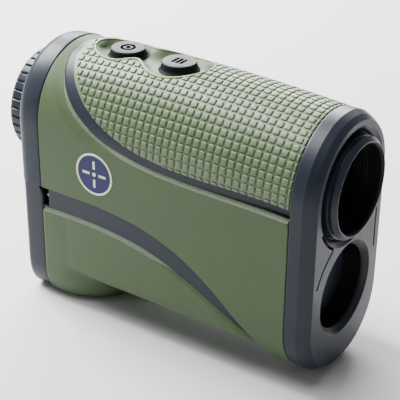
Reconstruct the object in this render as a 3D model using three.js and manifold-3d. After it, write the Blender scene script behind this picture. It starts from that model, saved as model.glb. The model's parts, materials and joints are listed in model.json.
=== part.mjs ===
// A handheld laser rangefinder: viewing optics above, receiver below, battery in the rear foot.
// Millimetres. +X points out of the objective, +Z is up, and the origin is on the surface that
// it stands on, under the middle of its box.
import * as THREE from 'three';
import { mergeVertices } from 'three/addons/utils/BufferGeometryUtils.js';
import Module from 'manifold-3d';

const wasm = await Module();
wasm.setup();

// ---- Driving dimensions -------------------------------------------------------------------

const AXIS_Z = 55; // height of the objective's axis
const EYEPIECE_Z = 54; // height of the eyepiece's axis, which the prism sets a little lower
const RECEIVER_Z = 24.6; // height of the receiver's axis
const BODY_RADIUS = 20; // half the width, and the radius of the round top
const CROWN = 2.35; // how far the middle of the top arches above that round
const NOSE_X = 44; // where the bezel meets the armour
const FACE_X = 51.1; // the bezel's flat face
const LIP_X = 53.7; // the front of the objective hood
const TAIL_X = -38; // where the rear cover meets the armour
const COVER_X = -46; // the back of the rear cover
const DOOR_X = -45.5; // the back of the battery door
const RING_X = -52.4; // the back of the dioptre ring
const EYECUP_X = -53.7; // the back of the eyecup
const BELLY_Z = 0; // underside of the nose, which stands level with the foot
const KEEL_Z = 8.5; // underside between the nose and the foot
const FOOT_X = -33.5; // centre of the foot's round front
const FOOT_LENGTH = 20.8; // from there to its tip
const FOOT_CORNER = 12; // height of its rounded lower edge
const FOOT_DRAW = 6.8; // how far that edge draws in
const DOOR_Z = 36.5; // top of the battery door

const SKIN = 1; // thickness of the rubber armour
const GAP = 0.3; // clearance between pieces that lie against each other
const WALL = 1.5; // wall of the housing
const CORE = SKIN + GAP; // inset of the housing's outside
const CAVITY = CORE + WALL; // inset of the housing's inside

const HOOD_RADIUS = 14.1;
const HOOD_BORE = 12.1;
const RECEIVER_BORE = 11.9;
const EYEPIECE_RADIUS = 12.2;
const EYEPIECE_BORE = 10.6;
const DIOPTRE_RADIUS = 16.1;

const BUTTON_RADIUS = 4.9;
const BUTTON_TOP_Z = 77;
const WELL_Z = 74.8; // floor of the recess round the buttons
const POWER_X = -20.8;
const MODE_X = -3.4;

const BADGE_X = -18;
const BADGE_Z = 46.4;
const BADGE_RADIUS = 6.3;

const BATTERY_Z = 15.4;
const BATTERY_RADIUS = 7.75;
const HINGE_X = -40;
const HINGE_Z = 1.6;

const TOP_STEPS = 18; // facets over the round top
const FOOT_STEPS = 4; // facets over the foot's lower edge
const LENGTH_STEPS = 5; // facets along the arched top
const ROUND = 32; // facets of a large round piece
const SMALL_ROUND = 12; // facets of a pin or a screw
const CURVE_STEPS = 7;
const FAR = 100; // beyond every surface, for cutting tools

// ---- Making solids ------------------------------------------------------------------------

function solid(geometry) {
  const plain = geometry.clone();
  plain.deleteAttribute('normal');
  plain.deleteAttribute('uv');
  const merged = mergeVertices(plain, 1e-4);
  const corners = merged.index.array;
  const kept = [];
  for (let i = 0; i < corners.length; i += 3) {
    const [a, b, c] = [corners[i], corners[i + 1], corners[i + 2]];
    if (a !== b && b !== c && c !== a) kept.push(a, b, c);
  }
  const made = new wasm.Manifold(new wasm.Mesh({
    numProp: 3,
    vertProperties: new Float32Array(merged.attributes.position.array),
    triVerts: new Uint32Array(kept),
  }));
  return made;
}

function joined(...solids) {
  return solids.reduce((whole, next) => whole.add(next));
}

function cut(whole, ...tools) {
  return tools.reduce((left, tool) => left.subtract(tool), whole);
}

function flipped(geometry) {
  const corners = geometry.index.array;
  for (let i = 0; i < corners.length; i += 3) {
    [corners[i], corners[i + 1]] = [corners[i + 1], corners[i]];
  }
  return geometry;
}

// Twice the area inside a closed outline, positive when it runs anticlockwise.
function turn(outline) {
  return outline.reduce((sum, [u, v], i) => {
    const [nextU, nextV] = outline[(i + 1) % outline.length];
    return sum + u * nextV - nextU * v;
  }, 0);
}

// A solid turned from a [distance along the axis, radius] outline. The outline either starts
// and ends on the axis or closes on itself.
function lathe(outline, segments) {
  const points = outline.map(([along, radius]) => new THREE.Vector2(radius, along));
  if (outline[0][1] > 0) points.push(points[0].clone());
  const geometry = new THREE.LatheGeometry(points, segments);
  return turn(outline) > 0 ? flipped(geometry) : geometry;
}

function alongX(outline, z = AXIS_Z, y = 0, segments = ROUND) {
  const geometry = lathe(outline, segments);
  geometry.rotateZ(-Math.PI / 2);
  geometry.translate(0, y, z);
  return solid(geometry);
}

function alongZ(outline, x, y = 0, segments = ROUND) {
  const geometry = lathe(outline, segments);
  geometry.rotateX(Math.PI / 2);
  geometry.translate(x, y, 0);
  return solid(geometry);
}

function rodY(radius, from, to, x, z, segments = SMALL_ROUND) {
  const geometry = new THREE.CylinderGeometry(radius, radius, to - from, segments);
  geometry.translate(x, (from + to) / 2, z);
  return solid(geometry);
}

function rodX(radius, from, to, z, y = 0, segments = ROUND) {
  return alongX([[from, 0], [from, radius], [to, radius], [to, 0]], z, y, segments);
}

function tubeX(outer, inner, from, to, z, segments = ROUND) {
  return alongX([[from, inner], [from, outer], [to, outer], [to, inner]], z, 0, segments);
}

function block([x0, x1], [y0, y1], [z0, z1]) {
  const geometry = new THREE.BoxGeometry(x1 - x0, y1 - y0, z1 - z0);
  geometry.translate((x0 + x1) / 2, (y0 + y1) / 2, (z0 + z1) / 2);
  return solid(geometry);
}

// An outline in X and Z, extruded across the whole width.
function acrossBody(shape) {
  const geometry = new THREE.ExtrudeGeometry(shape, {
    depth: 2 * FAR, bevelEnabled: false, curveSegments: CURVE_STEPS,
  });
  geometry.rotateX(Math.PI / 2);
  geometry.translate(0, FAR, 0);
  return solid(geometry);
}

// An outline in X and Y, extruded upwards.
function upright(shape, from, to) {
  const geometry = new THREE.ExtrudeGeometry(shape, {
    depth: to - from, bevelEnabled: false, curveSegments: CURVE_STEPS,
  });
  geometry.translate(0, 0, from);
  return solid(geometry);
}

// A closed solid through rings of [x, y, z] points, each anticlockwise seen from the last ring.
function loft(rings) {
  const count = rings[0].length;
  const positions = rings.flat(2);
  const corners = [];
  for (let i = 0; i < rings.length - 1; i++) {
    for (let j = 0; j < count; j++) {
      const here = i * count;
      const next = (j + 1) % count;
      corners.push(here + j, here + next, here + count + j);
      corners.push(here + next, here + count + next, here + count + j);
    }
  }
  for (const ring of [0, rings.length - 1]) {
    const centre = positions.length / 3;
    const points = rings[ring];
    positions.push(...[0, 1, 2].map((k) => points.reduce((sum, p) => sum + p[k], 0) / count));
    for (let j = 0; j < count; j++) {
      const here = ring * count + j;
      const next = ring * count + (j + 1) % count;
      corners.push(centre, ...(ring === 0 ? [next, here] : [here, next]));
    }
  }
  const geometry = new THREE.BufferGeometry();
  geometry.setAttribute('position', new THREE.Float32BufferAttribute(positions, 3));
  geometry.setIndex(corners);
  return solid(geometry);
}

// ---- The body's cross-sections ------------------------------------------------------------

const KEEL = { bottom: KEEL_Z, width: 6.5, height: 6.5, steps: 4 };
const NOSE = { bottom: BELLY_Z, width: 18, height: 18.5, steps: 6 };
const TAIL = { bottom: 0, width: FOOT_DRAW, height: FOOT_CORNER, steps: 4 };

function crownAt(x) {
  const middle = -6;
  const reach = 50;
  return CROWN * Math.max(0, 1 - ((x - middle) / reach) ** 2);
}

// A round top, straight flanks and elliptical lower corners, from +Y over the top to -Y.
function section(x, inset, form) {
  const half = BODY_RADIUS - inset;
  const crown = crownAt(x);
  const ring = [];
  for (let i = 0; i <= TOP_STEPS; i++) {
    const angle = Math.PI * i / TOP_STEPS;
    ring.push([x, half * Math.cos(angle), AXIS_Z + (half + crown) * Math.sin(angle)]);
  }
  const width = form.width - inset;
  const height = form.height - inset;
  for (const side of [-1, 1]) {
    for (let i = 0; i <= form.steps; i++) {
      const step = side < 0 ? i : form.steps - i;
      const angle = Math.PI / 2 * step / form.steps;
      const y = side * (half - width + width * Math.cos(angle));
      ring.push([x, y, form.bottom + inset + height * (1 - Math.sin(angle))]);
    }
  }
  return ring;
}

function sections(form, stations) {
  return loft(stations.map(([x, inset]) => section(x, inset, form)));
}

function evenly(form, inset, from, to) {
  const stations = [];
  for (let i = 0; i <= LENGTH_STEPS; i++) {
    stations.push([from + (to - from) * i / LENGTH_STEPS, inset]);
  }
  return sections(form, stations);
}

// The foot under the battery: flat below, with a round front and a round lower edge.
function foot(inset, from) {
  const height = FOOT_CORNER - inset;
  const width = FOOT_DRAW - inset;
  const top = KEEL_Z + 5.5;
  const rings = [];
  for (let i = 0; i <= FOOT_STEPS + 1; i++) {
    const angle = Math.PI / 2 * Math.min(i, FOOT_STEPS) / FOOT_STEPS;
    const z = i > FOOT_STEPS ? top : inset + height * (1 - Math.cos(angle));
    const draw = inset + width * (1 - Math.sin(angle));
    const half = BODY_RADIUS - draw;
    const length = FOOT_LENGTH - draw;
    const ring = [[from, -half, z]];
    for (let j = 0; j <= TOP_STEPS; j++) {
      const around = Math.PI * (j / TOP_STEPS - 0.5);
      ring.push([FOOT_X + length * Math.cos(around), half * Math.sin(around), z]);
    }
    ring.push([from, half, z]);
    rings.push(ring);
  }
  return loft(rings);
}

// ---- The armour's edges, drawn on the side view -------------------------------------------

// Where the deeper section of the nose takes over from the section behind it.
function noseRegion(shift) {
  const shape = new THREE.Shape();
  shape.moveTo(23.8 + shift, 22);
  shape.lineTo(33.2 + shift, 12.2);
  shape.lineTo(37.2 + shift, 7.2);
  shape.lineTo(41.5 + shift, -1);
  shape.lineTo(FAR, -1);
  shape.lineTo(FAR, 22);
  return acrossBody(shape);
}

function sideRegion() {
  const shape = new THREE.Shape();
  shape.moveTo(-38, 36.4);
  shape.bezierCurveTo(-6, 36.9, 9.5, 36.4, 33.4, 12.1);
  shape.lineTo(37.4, 7.4);
  shape.lineTo(41.8, -1);
  shape.lineTo(FAR, -1);
  shape.lineTo(FAR, 51.8);
  shape.lineTo(44, 51.8);
  shape.bezierCurveTo(12.1, 53.9, -21.6, 47.2, -35.4, 75.2);
  shape.lineTo(-38.8, 80.3);
  return acrossBody(shape);
}

function gripRegion() {
  const shape = new THREE.Shape();
  shape.moveTo(-36.6, 80.3);
  shape.lineTo(-33.2, 75.2);
  shape.bezierCurveTo(-11.1, 47.6, 18.5, 57.1, 44, 54.5);
  shape.lineTo(FAR, 54.5);
  shape.lineTo(FAR, FAR);
  shape.lineTo(-36.6, FAR);
  return acrossBody(shape);
}

function lowerRegion() {
  const shape = new THREE.Shape();
  shape.moveTo(-38, 30);
  shape.bezierCurveTo(-1.7, 31.3, 8.2, 26.4, 31.9, 12.2);
  shape.lineTo(35.6, 7.4);
  shape.lineTo(36, -FAR);
  shape.lineTo(-38, -FAR);
  return acrossBody(shape);
}

// The whole body between the rear cover and the bezel, inset from its outside.
function body(inset, from = TAIL_X + GAP, to = NOSE_X - GAP) {
  const rear = joined(evenly(KEEL, inset, from, to), foot(inset, from));
  const nose = evenly(NOSE, inset, from, to);
  return joined(
    rear.subtract(noseRegion(-inset)),
    nose.intersect(noseRegion(inset)),
    rear.intersect(nose),
  );
}

// ---- Housing and armour -------------------------------------------------------------------

// The recess round the buttons, seen from above: a lobe round each button and a neck between.
function wellShape(grow) {
  const back = -30.5 - grow;
  const front = 7 + grow;
  const lobe = 6.8 + grow;
  const neck = 4.4 + grow;
  const broad = 8.2 + grow;
  const shape = new THREE.Shape();
  shape.moveTo(back, 0);
  shape.bezierCurveTo(back, -4.2, -27, -lobe, -21.5, -lobe);
  shape.bezierCurveTo(-18, -lobe, -16.6, -neck, -14.2, -neck);
  shape.bezierCurveTo(-11.6, -neck, -10.5, -broad, -4.6, -broad);
  shape.bezierCurveTo(1.5, -broad, front, -4, front, 0);
  shape.bezierCurveTo(front, 4, 1.5, broad, -4.6, broad);
  shape.bezierCurveTo(-10.5, broad, -11.6, neck, -14.2, neck);
  shape.bezierCurveTo(-16.6, neck, -18, lobe, -21.5, lobe);
  shape.bezierCurveTo(-27, lobe, back, 4.2, back, 0);
  return shape;
}

const SCREWS = [
  { y: -15, z: 42, head: -45.2 },
  { y: 15, z: 42, head: -45.2 },
  { y: -13.4, z: 30.5, head: -41.4 },
  { y: 13.4, z: 30.5, head: -41.4 },
];
const SCREW_TIP_X = -31;
const SCREW_HEAD = { radius: 1.9, length: 1.2 };
const SCREW_SHAFT = 1.1;
const SCREW_HOLE = 1.35;

function screwBoss({ y, z }) {
  const side = Math.sign(y);
  const reach = [side * 13, side * (BODY_RADIUS - CORE - 0.5)].sort((a, b) => a - b);
  const web = block([TAIL_X + GAP, SCREW_TIP_X - 1], reach, [z - 1, z + 1]);
  return web.add(rodX(2.3, TAIL_X + GAP, SCREW_TIP_X - 1, z, y, SMALL_ROUND));
}

function mainHousing() {
  const inside = body(CAVITY, TAIL_X - 2, NOSE_X + 2);
  const shell = body(CORE).subtract(inside);
  const pad = block([-32, 8.5], [-9.5, 9.5], [71.5, 74]).intersect(body(CORE));
  const bosses = SCREWS.map(screwBoss);
  const holes = SCREWS.map(({ y, z }) => rodX(SCREW_HOLE, -FAR, FAR, z, y, SMALL_ROUND)
    .intersect(block([TAIL_X - 1, -29], [-FAR, FAR], [0, FAR])));
  const pocket = upright(wellShape(GAP), WELL_Z - 1.4, FAR);
  const stems = [POWER_X, MODE_X].map((x) => alongZ(
    [[71, 0], [71, 3.7], [FAR, 3.7], [FAR, 0]], x));
  const slot = block([-39, -36], [-FAR, -14.5], [30.4, 36.2]);
  const pinHole = rodX(1, -37, -33, 33.3, -17.4, SMALL_ROUND);
  const pinBoss = block([-36, -33.4], [-18, -15.6], [31.6, 35]);
  return cut(joined(shell, pad, pinBoss, ...bosses), pocket, ...stems, ...holes, slot, pinHole);
}

function armourShell() {
  return body(0).subtract(body(SKIN, TAIL_X - 2, NOSE_X + 2));
}

function gripArmour() {
  return armourShell().intersect(gripRegion()).subtract(upright(wellShape(GAP), 60, FAR));
}

function sideArmour() {
  const recess = rodY(BADGE_RADIUS + 0.2, -FAR, -19.5, BADGE_X, BADGE_Z, ROUND);
  return armourShell().intersect(sideRegion()).subtract(recess);
}

function lowerArmour() {
  return armourShell().intersect(lowerRegion());
}

function badgeRim() {
  const rim = rodY(BADGE_RADIUS, -BODY_RADIUS, -19.6, BADGE_X, BADGE_Z, ROUND);
  return rim.subtract(rodY(BADGE_RADIUS - 0.6, -FAR, -19, BADGE_X, BADGE_Z, ROUND));
}

function badgeDisc() {
  return rodY(BADGE_RADIUS - 0.7, -19.85, -19.6, BADGE_X, BADGE_Z, ROUND);
}

// ---- Front --------------------------------------------------------------------------------

// A groove in the face that follows a circle round one of the two axes.
function grooveArc(radius, z, from, to) {
  const width = 0.5;
  const steps = 10;
  const edge = (r) => Array.from({ length: steps + 1 }, (_, i) => {
    const angle = THREE.MathUtils.degToRad(from + (to - from) * i / steps);
    return new THREE.Vector2(r * Math.cos(angle), z + r * Math.sin(angle));
  });
  const outline = [...edge(radius), ...edge(radius + width).reverse()];
  const geometry = new THREE.ExtrudeGeometry(new THREE.Shape(outline), {
    depth: 2, bevelEnabled: false,
  });
  geometry.applyMatrix4(new THREE.Matrix4().set(0, 0, 1, 0, 1, 0, 0, 0, 0, 1, 0, 0, 0, 0, 0, 1));
  geometry.translate(FACE_X - 1, 0, 0);
  return solid(geometry);
}

function frontBezel() {
  const outside = sections(NOSE, [[NOSE_X, 0], [47.8, 0.25], [49.6, 0.95], [FACE_X, 2.1]]);
  const spigot = sections(NOSE, [[42.4, CAVITY + GAP], [NOSE_X + 1, CAVITY + GAP]]);
  const pocket = sections(NOSE, [[40, 4.3], [46.6, 4.3]]);
  const dish = alongX([
    [49.2, 0], [49.2, 14.6], [50.1, 15.1], [FACE_X, 16.3], [FACE_X + 1, 17.4], [FACE_X + 1, 0],
  ]);
  const hoodHole = rodX(HOOD_RADIUS + GAP, 40, 60, AXIS_Z);
  const chamfer = alongX([
    [40, 0], [40, RECEIVER_BORE], [49.4, RECEIVER_BORE], [50, 12.65], [FACE_X, 13.55],
    [60, 20.8], [60, 0],
  ], RECEIVER_Z);
  const grooves = [
    grooveArc(16.4, AXIS_Z, 207, 239.5),
    grooveArc(17.3, RECEIVER_Z, 119.8, 156),
  ];
  const sideGroove = block([FACE_X - 1, FAR], [15, 15.5], [30, 42.5]);
  return cut(joined(outside, spigot), pocket, dish, hoodHole, chamfer, ...grooves, sideGroove);
}

function objectiveHood() {
  return alongX([
    [44.6, HOOD_BORE], [44.6, 15.2], [46, 15.2], [46, HOOD_RADIUS], [51.5, HOOD_RADIUS],
    [51.6, 13.6], [52.3, 13.6], [52.4, 13.9], [53.4, 13.2], [LIP_X, 12.9], [LIP_X, 12.5],
    [50, HOOD_BORE],
  ]);
}

// A lens whose faces bulge by the two given heights.
function lens(radius, back, front, backBulge, frontBulge, z) {
  const steps = 3;
  const outline = [];
  for (let i = 0; i <= steps; i++) {
    const r = radius * i / steps;
    outline.push([back - backBulge * (1 - (r / radius) ** 2), r]);
  }
  for (let i = steps; i >= 0; i--) {
    const r = radius * i / steps;
    outline.push([front + frontBulge * (1 - (r / radius) ** 2), r]);
  }
  return alongX(outline, z);
}

// ---- Rear ---------------------------------------------------------------------------------

function screwPost({ y, z }) {
  return rodX(2.6, -44, TAIL_X - 0.1, z, y, SMALL_ROUND);
}

function screwClearance({ y, z, head }) {
  const hole = rodX(SCREW_HOLE, -FAR, FAR, z, y, SMALL_ROUND);
  return hole.add(rodX(SCREW_HEAD.radius + 0.25, -FAR, head + 1.3, z, y, SMALL_ROUND));
}

// A cap round the eyepiece, with a bulkhead below it that the battery door closes over.
function rearCover() {
  const outside = sections(TAIL, [[COVER_X, 1.9], [-45.3, 0.6], [-44, 0], [TAIL_X, 0]]);
  const inside = sections(TAIL, [[-43.6, 1.9], [TAIL_X + 1, 1.9]]);
  const above = block([-FAR, FAR], [-FAR, FAR], [DOOR_Z + 1.7, FAR]);
  const cap = outside.intersect(block([-FAR, FAR], [-FAR, FAR], [DOOR_Z + 0.2, FAR]));
  const bulkhead = sections(TAIL, [[-41.6, 4.2], [TAIL_X - 0.1, 4.2]])
    .intersect(block([-FAR, FAR], [-FAR, FAR], [3.9, DOOR_Z + 0.5]));
  const lug = joined(
    block([HINGE_X, TAIL_X - 0.1], [-3, 3], [0.6, 5]),
    rodY(1.4, -3, 3, HINGE_X, HINGE_Z),
  );
  const shell = cap.subtract(inside.intersect(above));
  const upper = joined(shell, ...SCREWS.slice(0, 2).map(screwPost), bulkhead, lug);
  return cut(
    upper,
    rodX(13.3, -FAR, FAR, EYEPIECE_Z),
    rodX(9.4, -FAR, FAR, BATTERY_Z),
    rodY(0.85, -FAR, FAR, HINGE_X, HINGE_Z),
    ...SCREWS.map(screwClearance),
  );
}

function batteryDoor() {
  const side = 0.2;
  const outside = sections(TAIL, [
    [DOOR_X, side + 1.6], [-44.8, side + 0.5], [-43.6, side], [TAIL_X, side],
  ]);
  const inside = sections(TAIL, [[-43.8, side + 1.3], [TAIL_X + 1, side + 1.3]]);
  const below = block([-FAR, FAR], [-FAR, FAR], [-1, DOOR_Z - 0.2]);
  const swing = block([TAIL_X - 0.3, TAIL_X + 1], [-FAR, FAR], [-1, HINGE_Z]);
  const lugSpace = block([-42, TAIL_X + 1], [-3.3, 3.3], [-1, 6]);
  const knuckles = [[-8.5, -3.4], [3.4, 8.5]].map(([from, to]) => rodY(1.4, from, to, HINGE_X, HINGE_Z));
  const shell = outside.intersect(below).subtract(inside);
  const pull = rodY(9, -6, 6, DOOR_X - 8.4, DOOR_Z - 3);
  return cut(
    joined(cut(shell, swing, lugSpace), ...knuckles),
    rodY(0.85, -FAR, FAR, HINGE_X, HINGE_Z),
    pull,
  );
}

function dioptreRing() {
  const bore = EYEPIECE_RADIUS + GAP;
  return alongX([
    [COVER_X - GAP, bore], [RING_X + 1.1, bore], [RING_X + 1.1, 11], [RING_X, 11],
    [RING_X, 14.8], [RING_X + 0.3, 15.6], [RING_X + 1, DIOPTRE_RADIUS],
    [COVER_X - 0.8, DIOPTRE_RADIUS], [COVER_X - GAP, 15.6],
  ], EYEPIECE_Z);
}

function eyecup() {
  return alongX([
    [RING_X - GAP, 10.9], [RING_X - GAP, 13.8], [-53.3, 13.5], [EYECUP_X, 12.9],
    [EYECUP_X, 12], [-53.3, 11.3],
  ], EYEPIECE_Z);
}

// ---- Buttons ------------------------------------------------------------------------------

function buttonSurround() {
  const outer = upright(wellShape(0), WELL_Z - 1.1, FAR).intersect(body(-0.4));
  const inner = upright(wellShape(-0.9), WELL_Z, FAR);
  const bores = [POWER_X, MODE_X].map((x) => alongZ(
    [[60, 0], [60, BUTTON_RADIUS + GAP], [FAR, BUTTON_RADIUS + GAP], [FAR, 0]], x));
  return cut(outer, inner, ...bores);
}

function button(x) {
  return alongZ([
    [72.3, 0], [72.3, 3.3], [74.5, 3.3], [74.5, BUTTON_RADIUS], [BUTTON_TOP_Z - 0.5, BUTTON_RADIUS],
    [BUTTON_TOP_Z, BUTTON_RADIUS - 0.5], [BUTTON_TOP_Z, 0],
  ], x);
}

function boot(x) {
  const bore = BUTTON_RADIUS + GAP;
  return alongZ([
    [WELL_Z + 0.1, bore], [WELL_Z + 0.1, bore + 0.45], [WELL_Z + 0.9, bore + 0.2],
    [WELL_Z + 0.9, bore],
  ], x);
}

function tactileSwitch(x) {
  const base = block([x - 3, x + 3], [-3, 3], [68.1, 70.1]);
  return base.add(alongZ([[70, 0], [70, 1.6], [71.2, 1.6], [71.2, 0]], x, 0, SMALL_ROUND));
}

// ---- Inside -------------------------------------------------------------------------------

function opticalChassis() {
  const floor = block([-25, 21.7], [-11, 11], [42.2, 43.7]);
  const front = block([20.2, 21.7], [-13.6, 13.6], [12, 64.5]);
  const rear = block([-25, -23.5], [-11, 11], [42.2, 66]);
  return cut(
    joined(floor, front, rear),
    rodX(11, 15, 30, AXIS_Z),
    rodX(10, 15, 30, RECEIVER_Z),
    rodX(10, -30, -20, EYEPIECE_Z),
    alongZ([[40, 0], [40, 2.5], [45, 2.5], [45, 0]], 3, 0, SMALL_ROUND),
  );
}

function batteryTray() {
  const front = -15;
  const tray = alongX([
    [-43.4, 8.1], [-43.4, 9.1], [front, 9.1], [front, 0], [front - 0.6, 0], [front - 0.6, 8.1],
  ].reverse(), BATTERY_Z);
  return tray.intersect(body(CAVITY + GAP, -60, 20));
}

function battery() {
  return alongX([
    [-43.1, 0], [-43.1, 7.2], [-42.6, BATTERY_RADIUS], [-17.5, BATTERY_RADIUS], [-17, 7.2],
    [-17, 3], [-16.1, 3], [-16.1, 0],
  ], BATTERY_Z);
}

function coverScrew({ y, z, head }) {
  const neck = head + SCREW_HEAD.length;
  return alongX([
    [head, 0], [head, SCREW_HEAD.radius - 0.3], [head + 0.3, SCREW_HEAD.radius],
    [neck, SCREW_HEAD.radius], [neck, SCREW_SHAFT], [SCREW_TIP_X - 2, SCREW_SHAFT],
    [SCREW_TIP_X - 1.2, 0],
  ], z, y, SMALL_ROUND);
}

// ---- Materials and the finished group -----------------------------------------------------

function material(color, roughness, metalness = 0) {
  return new THREE.MeshStandardMaterial({ color, roughness, metalness });
}

const GREEN_RUBBER = material(0x6c7a60, 0.75);
const GREEN_SURROUND = material(0x84937a, 0.6);
const SLATE = material(0x474d58, 0.42);
const BLACK = material(0x1c1d20, 0.5);
const BLACK_RUBBER = material(0x1a1b1d, 0.8);
const BUTTON_CAP = material(0x3a3d44, 0.55);
const NAVY = material(0x4d5190, 0.4);
const IVORY = material(0xeef2df, 0.4);
const GLASS = material(0x9fb4b0, 0.05);
const STEEL = material(0xb9bcc0, 0.3, 1);
const BRASS = material(0xb08d4c, 0.35, 1);
const BOARD = material(0x1f5a3c, 0.6);
const ALUMINIUM = material(0x8d9196, 0.4, 1);
const CELL = material(0x2c4f8c, 0.4);

const rangefinder = new THREE.Group();

function piece(name, made, look) {
  const mesh = made.getMesh();
  const geometry = new THREE.BufferGeometry();
  geometry.setAttribute('position', new THREE.BufferAttribute(mesh.vertProperties, 3));
  geometry.setIndex(new THREE.BufferAttribute(mesh.triVerts, 1));
  geometry.computeVertexNormals();
  const node = new THREE.Mesh(geometry, look);
  node.name = name;
  rangefinder.add(node);
}

piece('main_housing', mainHousing(), SLATE);
piece('grip_armour', gripArmour(), GREEN_RUBBER);
piece('side_armour', sideArmour(), GREEN_RUBBER);
piece('lower_armour', lowerArmour(), GREEN_RUBBER);
piece('badge_rim', badgeRim(), IVORY);
piece('badge_disc', badgeDisc(), NAVY);
piece('lanyard_pin', rodX(0.8, -37.4, -33.6, 33.3, -17.4, SMALL_ROUND), STEEL);

piece('front_bezel', frontBezel(), SLATE);
piece('objective_hood', objectiveHood(), SLATE);
piece('objective_seal', tubeX(15.1, 14.4, 46.1, 46.5, AXIS_Z), BLACK_RUBBER);
piece('objective_tube', tubeX(14, 12.3, 22, 44.3, AXIS_Z), BLACK);
piece('objective_lens', lens(12, 39.4, 40.6, 1.4, 1.6, AXIS_Z), GLASS);
piece('objective_retainer', tubeX(12.2, 11, 42.4, 43.8, AXIS_Z), BLACK);
piece('receiver_tube', tubeX(13, RECEIVER_BORE, 22, 46.3, RECEIVER_Z), BLACK);
piece('receiver_lens', lens(11.6, 39.4, 40.4, 1.2, 1.4, RECEIVER_Z), GLASS);
piece('receiver_retainer', tubeX(11.8, 10, 42.2, 43.8, RECEIVER_Z), BLACK);

piece('optical_chassis', opticalChassis(), ALUMINIUM);
piece('prism_block', block([-8, 14], [-10, 10], [44, 65]), GLASS);
piece('reticle_display', block([-13, -11.5], [-8, 8], [44, 63]), BLACK);
piece('laser_diode', alongZ([[35.5, 0], [35.5, 2.3], [40, 2.3], [40, 3.4], [41.9, 3.4], [41.9, 0]], 3),
  BRASS);
piece('detector', rodX(4.1, 16.5, 19.9, RECEIVER_Z), STEEL);
piece('detector_board', block([15, 16.2], [-9, 9], [15.6, 33.6]), BOARD);
piece('main_board', block([-27, 18], [14.7, 16.1], [22, 58]), BOARD);
piece('button_board', block([-24.4, 2], [-9, 9], [66.6, 68]), BOARD);
piece('power_switch', tactileSwitch(POWER_X), BLACK);
piece('mode_switch', tactileSwitch(MODE_X), BLACK);

piece('button_surround', buttonSurround(), GREEN_SURROUND);
piece('power_button', button(POWER_X), BUTTON_CAP);
piece('mode_button', button(MODE_X), BUTTON_CAP);
piece('power_button_boot', boot(POWER_X), BLACK_RUBBER);
piece('mode_button_boot', boot(MODE_X), BLACK_RUBBER);

piece('rear_cover', rearCover(), SLATE);
piece('eyepiece_barrel', tubeX(EYEPIECE_RADIUS, EYEPIECE_BORE, RING_X + 1.4, -25.3, EYEPIECE_Z), BLACK);
piece('eyepiece_seal', tubeX(13, 12.4, -45, -44.2, EYEPIECE_Z), BLACK_RUBBER);
piece('field_lens', lens(10.3, -30, -29, 0.9, 0.9, EYEPIECE_Z), GLASS);
piece('eye_lens', lens(10.3, -47.4, -46, 1, 1.2, EYEPIECE_Z), GLASS);
piece('dioptre_ring', dioptreRing(), SLATE);
piece('eyecup', eyecup(), BLACK_RUBBER);

piece('battery_door', batteryDoor(), SLATE);
piece('door_hinge_pin', rodY(0.7, -8.4, 8.4, HINGE_X, HINGE_Z), STEEL);
piece('door_contact', block([-43.7, -43.25], [-3, 3], [BATTERY_Z - 4, BATTERY_Z + 4]), BRASS);
piece('battery_tray', batteryTray(), BLACK);
piece('battery', battery(), CELL);
piece('front_contact', rodX(3.9, -16, -15.7, BATTERY_Z), BRASS);
SCREWS.forEach((screw, i) => piece(`cover_screw_${i + 1}`, coverScrew(screw), STEEL));

export default rangefinder;
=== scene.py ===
import json
import math

import bmesh
import bpy
import numpy as np
from mathutils import Matrix, Vector


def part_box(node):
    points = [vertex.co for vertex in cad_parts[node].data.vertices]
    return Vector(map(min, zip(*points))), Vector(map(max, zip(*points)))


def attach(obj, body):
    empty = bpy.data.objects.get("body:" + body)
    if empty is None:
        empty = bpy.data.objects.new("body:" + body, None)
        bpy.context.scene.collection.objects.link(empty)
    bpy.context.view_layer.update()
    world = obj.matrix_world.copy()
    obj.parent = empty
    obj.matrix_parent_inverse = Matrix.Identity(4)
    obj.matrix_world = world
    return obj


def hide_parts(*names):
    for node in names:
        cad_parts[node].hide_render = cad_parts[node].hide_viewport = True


# The looks of a handheld laser rangefinder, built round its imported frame.
# Lengths are in millimetres until mesh_of makes them metres. +X points out of the objective,
# +Z is up, and the badge is on the -Y flank.

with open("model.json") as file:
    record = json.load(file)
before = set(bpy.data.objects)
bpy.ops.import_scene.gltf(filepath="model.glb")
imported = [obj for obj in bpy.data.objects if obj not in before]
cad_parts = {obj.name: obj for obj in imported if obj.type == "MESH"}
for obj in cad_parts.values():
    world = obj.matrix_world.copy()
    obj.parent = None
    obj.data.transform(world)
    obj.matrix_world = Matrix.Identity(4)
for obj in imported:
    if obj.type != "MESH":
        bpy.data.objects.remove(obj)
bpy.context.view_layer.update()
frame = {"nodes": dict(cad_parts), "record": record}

# ---- Sizes, from the frame ----

MM = 0.001


def low(node, axis):
    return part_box(node)[0]["xyz".index(axis)] / MM


def high(node, axis):
    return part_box(node)[1]["xyz".index(axis)] / MM


def middle(node, axis):
    return (low(node, axis) + high(node, axis)) / 2


def half_width(node, axis):
    return (high(node, axis) - low(node, axis)) / 2


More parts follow.
